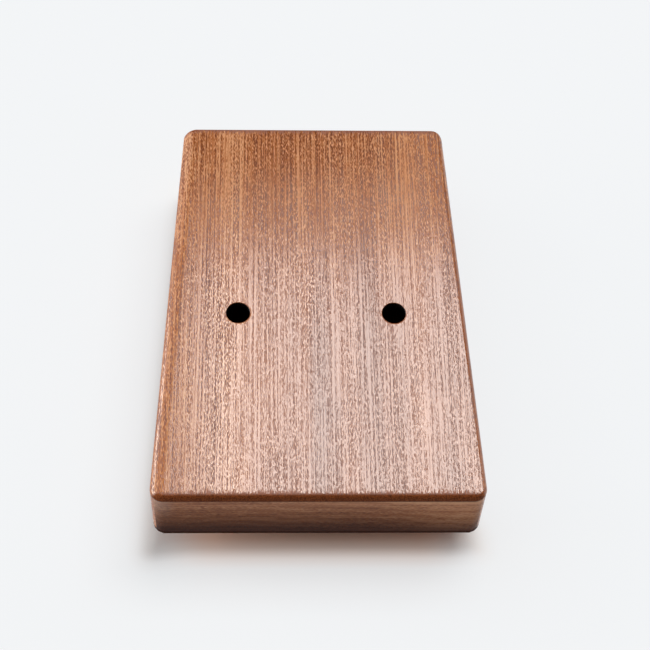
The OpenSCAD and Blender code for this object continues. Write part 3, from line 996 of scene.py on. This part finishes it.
# Light that the wood throws on the floor close to the head end
WOOD_GLOW = rgb(0.90, 0.66, 0.54)
GLOW_STOPS = ((0.06, grey(1.0)), (0.14, grey(0.4)), (0.2, grey(0.05)), (0.4, grey(0.0)))
GLOW_OFF = (42.0, 66.0)
GLOW_EDGE = 0.12
GLOW_Y = (20.0, 80.0)


def distance_from_box(tree, x, y):
    """How far a point of the floor lies past the box's outline, in metres; below zero under the box."""
    width = sum_up(tree, "MULTIPLY_ADD", y, math.tan(LEAN), MIDDLE_HALF_W * MM)
    past_side = sum_up(tree, "SUBTRACT", sum_up(tree, "ABSOLUTE", x), width)
    past_end = sum_up(tree, "SUBTRACT", sum_up(tree, "ABSOLUTE", y), BOX_HALF_L * MM)
    inside = sum_up(tree, "MINIMUM", sum_up(tree, "MAXIMUM", past_side, past_end), 0.0)
    out_side = sum_up(tree, "MAXIMUM", past_side, 0.0)
    out_end = sum_up(tree, "MAXIMUM", past_end, 0.0)
    squares = sum_up(tree, "MULTIPLY_ADD", out_side, out_side, sum_up(tree, "MULTIPLY", out_end, out_end))
    return sum_up(tree, "ADD", sum_up(tree, "SQRT", squares), inside)


def shade_place(tree, x, y):
    """Where a point of the floor lies in the box's shade, from 0 under the box to 1 in the open."""
    lighter = ease_mm(tree, x, DRAWN_X, DRAWN_IN * MM, 0.0)
    lighter = sum_up(tree, "MULTIPLY", lighter, ease_mm(tree, y, DRAWN_Y, 1.0, 0.0))
    lighter = sum_up(tree, "SUBTRACT", lighter, ease_mm(tree, x, LET_X, 0.0, LET_OUT * MM))
    past = sum_up(tree, "ADD", distance_from_box(tree, x, y), lighter)
    return ease_line(tree, past, FLOOR_START * MM, (FLOOR_START + FLOOR_REACH) * MM)


def wood_light(tree, x, y, place):
    """Share of the wood's light on the floor: strongest by the middle of the head end."""
    middle = ease_mm(tree, sum_up(tree, "ABSOLUTE", x), GLOW_OFF, 1.0, GLOW_EDGE)
    near = sum_up(tree, "MULTIPLY", middle, ease_mm(tree, y, GLOW_Y))
    return sum_up(tree, "MULTIPLY", ramp(tree, place, GLOW_STOPS), near)


def paper_floor(name):
    """Matt white paper that the backdrop's rays see partly by its own light, less and less towards the box,
    so that the box's shadow stays, and warmed by the wood close to the head end."""
    made, tree, shader = new_finish(name)
    x, y, _ = split(tree, object_place(tree))
    place = shade_place(tree, x, y)
    stops = [((at - FLOOR_START) / FLOOR_REACH, grey(share)) for at, share in FLOOR_SHARES]
    share = sum_up(tree, "MULTIPLY", ramp(tree, place, stops), backdrop_rays(tree))
    fibres = streaks(tree, turned_place(tree, "Y", NO_SHIFT), *PAPER_MARKS)
    paper = blend_colour(tree, sum_up(tree, "MULTIPLY", fibres, PAPER_FIBRES), grey(FLOOR_WHITE), PAPER_COOL)
    warmth = wood_light(tree, x, y, place)
    feed(tree, shader.inputs["Base Color"], blend_colour(tree, warmth, paper, WOOD_GLOW))
    shader.inputs["Roughness"].default_value = PAPER_DULL
    shader.inputs["Specular IOR Level"].default_value = 0.0
    light = blend_colour(tree, warmth, FLOOR_GLOW, WOOD_GLOW)
    glow = put(tree, "ShaderNodeEmission", {"Color": light, "Strength": 1.0})
    mix = put(tree, "ShaderNodeMixShader", {0: share, 1: shader.outputs[0], 2: glow.outputs[0]})
    feed(tree, tree.nodes["Material Output"].inputs["Surface"], mix.outputs[0])
    return made


def make_floor():
    """Level grid of points at the ground."""
    line = np.linspace(-FLOOR_HALF, FLOOR_HALF, FLOOR_POINTS)
    x, y = np.meshgrid(line, line)
    points = np.stack([x, y, 0 * x], -1).reshape(-1, 3)
    mesh = bpy.data.meshes.new("floor")
    mesh.from_pydata(points.tolist(), [], grid_faces(FLOOR_POINTS, FLOOR_POINTS).tolist())
    floor = bpy.data.objects.new("floor", mesh)
    bpy.context.scene.collection.objects.link(floor)
    return floor


# Dressing

def finish_with(piece, *materials):
    """Gives a piece its materials."""
    piece.data.materials.clear()
    for material in materials:
        piece.data.materials.append(material)


def dress_box(nodes):
    """Finishes of the CAD pieces of the box and the bridge."""
    for node, finish, shift in SIDE_WALLS:
        finish_with(nodes[node], plain_mahogany(finish, shift, SIDE_LEVEL, SIDE_CALM, seams_and_shade=SEAMS))
    for node, finish, shift in END_WALLS:
        finish_with(nodes[node], wall_mahogany(finish, shift))
    # the soundboard's edge gets a painted shade line
    front = plain_mahogany("mahogany_front", FRONT_SHIFT, WALL_LEVEL, end_at=BOARD_END, seams_and_shade=PAINTED_EDGE_SHADE)
    finish_with(nodes["front_panel"], front)
    bare = spruce("spruce_bare")
    finish_with(nodes["corner_blocks"], bare)
    finish_with(nodes["bridge_brace"], bare)
    finish_with(nodes["bridge_block"], rosewood("rosewood_oiled"))
    polished = brushed_steel("steel_polished", "X", POLISHED, POLISHED_DULL)
    for name in ("front_saddle", "rear_saddle", "pressure_bar", "pressure_screws"):
        finish_with(nodes[name], polished)


def main():
    """Studio, finishes of the CAD pieces, back panel and tines."""
    bpy.context.scene.view_settings.view_transform = "Standard"
    make_camera()
    make_lamps()
    make_world()
    finish_with(make_floor(), paper_floor("paper"))
    dress_box(frame["nodes"])
    panel = make_back_panel()
    ends = plain_mahogany("mahogany_back_ends", NO_SHIFT, MATT_LEVEL, end_at=BACK_END)
    finish_with(panel, back_mahogany("mahogany_back"), ends)
    mark_ends(panel.data)
    spring = brushed_steel("spring_steel_brushed", "Y", SPRING, SPRING_DULL)
    for joint in frame["joints"]:
        finish_with(make_tine(joint), spring)


main()
